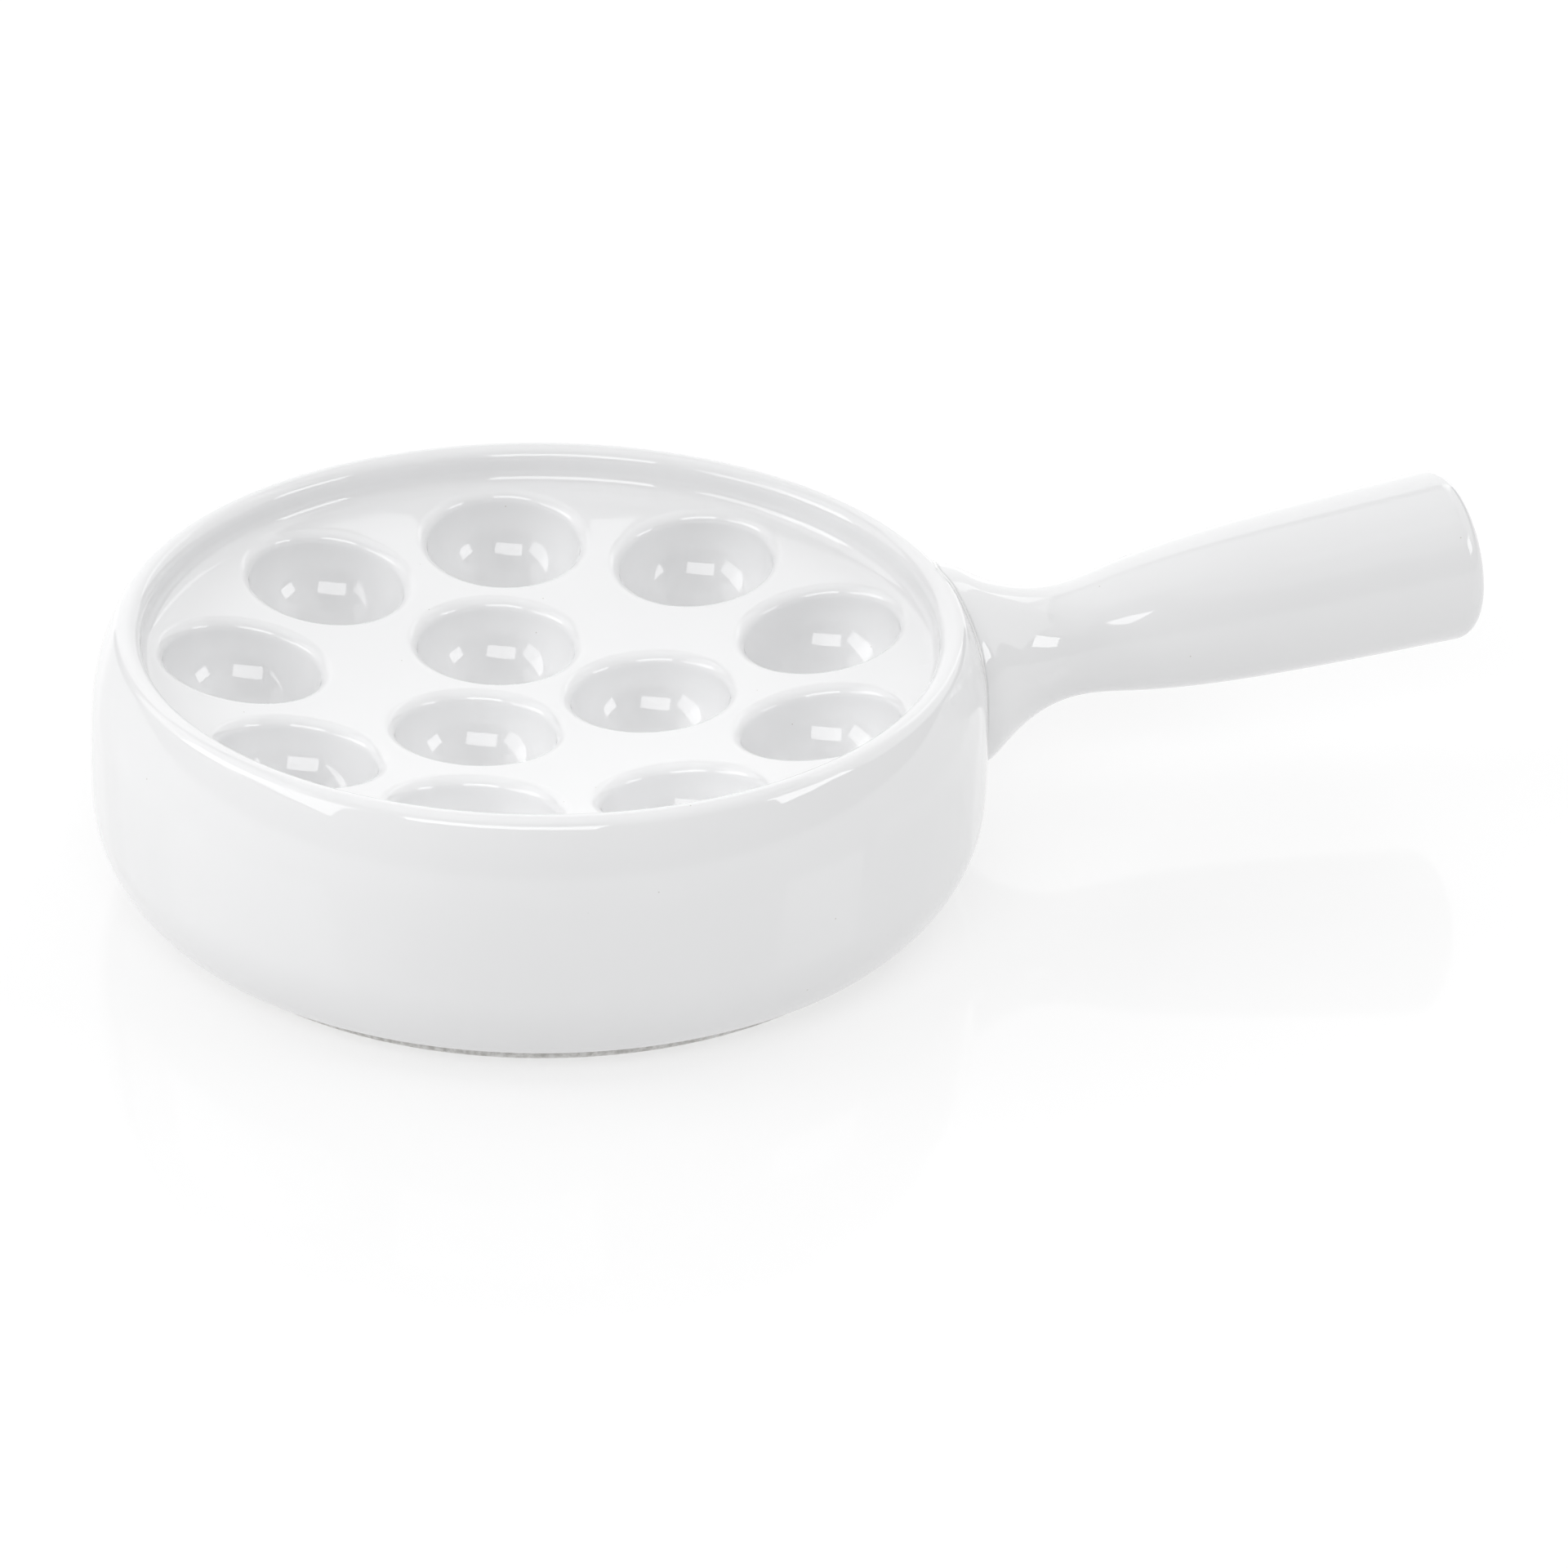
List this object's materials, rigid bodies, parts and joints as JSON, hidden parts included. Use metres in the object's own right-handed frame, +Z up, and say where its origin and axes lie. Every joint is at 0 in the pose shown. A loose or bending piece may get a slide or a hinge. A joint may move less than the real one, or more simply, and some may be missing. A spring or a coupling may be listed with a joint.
{
  "type": "snail pan",
  "caption": "Round glazed porcelain snail pan: dished plate with round wells inside a low convex wall, on a bare foot ring, with one flared hollow handle",
  "frame": {"origin": "on the pan's own axis, in the plane that the foot ring stands on", "axes": "+Z is up along the pan's axis, +X runs from the pan's axis along the handle, +Y completes a right-handed frame"},
  "size_m": [0.2588, 0.16, 0.0562],
  "materials": {
    "glaze": "glossy",
    "bare_porcelain": "matte"
  },
  "bodies": {
    "root": {"pan_wall": "glaze", "well_plate": "glaze", "well_cup_01": "glaze", "well_cup_02": "glaze", "well_cup_03": "glaze", "well_cup_04": "glaze", "well_cup_05": "glaze", "well_cup_06": "glaze", "well_cup_07": "glaze", "well_cup_08": "glaze", "well_cup_09": "glaze", "well_cup_10": "glaze", "well_cup_11": "glaze", "well_cup_12": "glaze", "handle": "glaze", "luting_seam": "glaze", "foot_ring": "bare_porcelain"}
  },
  "joints": []
}
